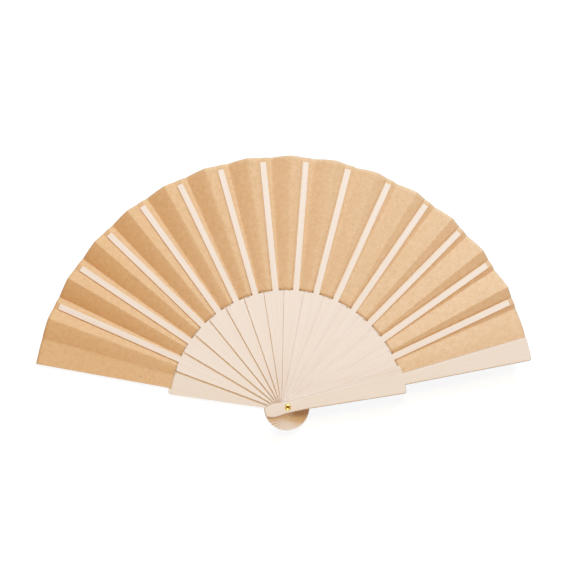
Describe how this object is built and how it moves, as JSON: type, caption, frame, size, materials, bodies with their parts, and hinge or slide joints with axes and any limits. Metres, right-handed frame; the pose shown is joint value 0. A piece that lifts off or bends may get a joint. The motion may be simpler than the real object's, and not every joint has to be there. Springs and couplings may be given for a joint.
{
  "type": "folding hand fan",
  "caption": "Open folding hand fan: wooden ribs and two guards turning on one brass rivet, with a pleated thin cork leaf glued under the ribs. It folds shut into a flat stick.",
  "frame": {"origin": "centre of the rivet's flat foot, on the rivet's axis, in the plane that the rear guard lies on", "axes": "+Z along the rivet's axis, from the rear guard up to the front guard and out of the ribbed side; +Y along the middle of the opened fan; +X towards the front guard"},
  "size_m": [0.4167, 0.2322, 0.0241],
  "materials": {
    "wood": "pale unvarnished wood, sanded matte",
    "leaf": "thin cork sheet on a backing, matte, finely speckled",
    "rivet": "polished brass, slightly dulled"
  },
  "bodies": {
    "rear_guard": {"rear_guard": "wood", "rivet": "rivet", "leaf_rear_end": "leaf"},
    "rib_01": {"rib_01": "wood", "leaf_pleat_01": "leaf"},
    "rib_02": {"rib_02": "wood", "leaf_pleat_02": "leaf"},
    "rib_03": {"rib_03": "wood", "leaf_pleat_03": "leaf"},
    "rib_04": {"rib_04": "wood", "leaf_pleat_04": "leaf"},
    "rib_05": {"rib_05": "wood", "leaf_pleat_05": "leaf"},
    "rib_06": {"rib_06": "wood", "leaf_pleat_06": "leaf"},
    "rib_07": {"rib_07": "wood", "leaf_pleat_07": "leaf"},
    "rib_08": {"rib_08": "wood", "leaf_pleat_08": "leaf"},
    "rib_09": {"rib_09": "wood", "leaf_pleat_09": "leaf"},
    "rib_10": {"rib_10": "wood", "leaf_pleat_10": "leaf"},
    "rib_11": {"rib_11": "wood", "leaf_pleat_11": "leaf"},
    "rib_12": {"rib_12": "wood", "leaf_pleat_12": "leaf"},
    "rib_13": {"rib_13": "wood", "leaf_pleat_13": "leaf"},
    "rib_14": {"rib_14": "wood", "leaf_pleat_14": "leaf"},
    "front_guard": {"front_guard": "wood", "leaf_front_end": "leaf"}
  },
  "joints": [
    {"name": "front_guard_hinge", "type": "hinge", "parent": "rear_guard", "child": "front_guard", "pos_m": [0, 0, 0], "axis": [0, 0, 1], "range_deg": [0, 153.6]},
    {"name": "rib_01_hinge", "type": "hinge", "parent": "rear_guard", "child": "rib_01", "pos_m": [0, 0, 0], "axis": [0, 0, 1], "range_deg": [0, 10.71], "deforming": ["leaf_pleat_01", "leaf_rear_end"]},
    {"name": "rib_02_hinge", "type": "hinge", "parent": "rear_guard", "child": "rib_02", "pos_m": [0, 0, 0], "axis": [0, 0, 1], "range_deg": [0, 20.81], "deforming": ["leaf_pleat_02"]},
    {"name": "rib_03_hinge", "type": "hinge", "parent": "rear_guard", "child": "rib_03", "pos_m": [0, 0, 0], "axis": [0, 0, 1], "range_deg": [0, 30.91], "deforming": ["leaf_pleat_03"]},
    {"name": "rib_04_hinge", "type": "hinge", "parent": "rear_guard", "child": "rib_04", "pos_m": [0, 0, 0], "axis": [0, 0, 1], "range_deg": [0, 41.01], "deforming": ["leaf_pleat_04"]},
    {"name": "rib_05_hinge", "type": "hinge", "parent": "rear_guard", "child": "rib_05", "pos_m": [0, 0, 0], "axis": [0, 0, 1], "range_deg": [0, 51.11], "deforming": ["leaf_pleat_05"]},
    {"name": "rib_06_hinge", "type": "hinge", "parent": "rear_guard", "child": "rib_06", "pos_m": [0, 0, 0], "axis": [0, 0, 1], "range_deg": [0, 61.21], "deforming": ["leaf_pleat_06"]},
    {"name": "rib_07_hinge", "type": "hinge", "parent": "rear_guard", "child": "rib_07", "pos_m": [0, 0, 0], "axis": [0, 0, 1], "range_deg": [0, 71.31], "deforming": ["leaf_pleat_07"]},
    {"name": "rib_08_hinge", "type": "hinge", "parent": "rear_guard", "child": "rib_08", "pos_m": [0, 0, 0], "axis": [0, 0, 1], "range_deg": [0, 81.41], "deforming": ["leaf_pleat_08"]},
    {"name": "rib_09_hinge", "type": "hinge", "parent": "rear_guard", "child": "rib_09", "pos_m": [0, 0, 0], "axis": [0, 0, 1], "range_deg": [0, 91.51], "deforming": ["leaf_pleat_09"]},
    {"name": "rib_10_hinge", "type": "hinge", "parent": "rear_guard", "child": "rib_10", "pos_m": [0, 0, 0], "axis": [0, 0, 1], "range_deg": [0, 101.61], "deforming": ["leaf_pleat_10"]},
    {"name": "rib_11_hinge", "type": "hinge", "parent": "rear_guard", "child": "rib_11", "pos_m": [0, 0, 0], "axis": [0, 0, 1], "range_deg": [0, 111.71], "deforming": ["leaf_pleat_11"]},
    {"name": "rib_12_hinge", "type": "hinge", "parent": "rear_guard", "child": "rib_12", "pos_m": [0, 0, 0], "axis": [0, 0, 1], "range_deg": [0, 121.81], "deforming": ["leaf_pleat_12"]},
    {"name": "rib_13_hinge", "type": "hinge", "parent": "rear_guard", "child": "rib_13", "pos_m": [0, 0, 0], "axis": [0, 0, 1], "range_deg": [0, 131.91], "deforming": ["leaf_pleat_13"]},
    {"name": "rib_14_hinge", "type": "hinge", "parent": "rear_guard", "child": "rib_14", "pos_m": [0, 0, 0], "axis": [0, 0, 1], "range_deg": [0, 142.01], "deforming": ["leaf_pleat_14"]}
  ],
  "couplings": [
    {"joint": "rib_01_hinge", "follows": "front_guard_hinge", "ratio": 0.069661},
    {"joint": "rib_02_hinge", "follows": "front_guard_hinge", "ratio": 0.13542},
    {"joint": "rib_03_hinge", "follows": "front_guard_hinge", "ratio": 0.20117},
    {"joint": "rib_04_hinge", "follows": "front_guard_hinge", "ratio": 0.26693},
    {"joint": "rib_05_hinge", "follows": "front_guard_hinge", "ratio": 0.33268},
    {"joint": "rib_06_hinge", "follows": "front_guard_hinge", "ratio": 0.39844},
    {"joint": "rib_07_hinge", "follows": "front_guard_hinge", "ratio": 0.46419},
    {"joint": "rib_08_hinge", "follows": "front_guard_hinge", "ratio": 0.52995},
    {"joint": "rib_09_hinge", "follows": "front_guard_hinge", "ratio": 0.5957},
    {"joint": "rib_10_hinge", "follows": "front_guard_hinge", "ratio": 0.66146},
    {"joint": "rib_11_hinge", "follows": "front_guard_hinge", "ratio": 0.72721},
    {"joint": "rib_12_hinge", "follows": "front_guard_hinge", "ratio": 0.79297},
    {"joint": "rib_13_hinge", "follows": "front_guard_hinge", "ratio": 0.85872},
    {"joint": "rib_14_hinge", "follows": "front_guard_hinge", "ratio": 0.92448}
  ]
}
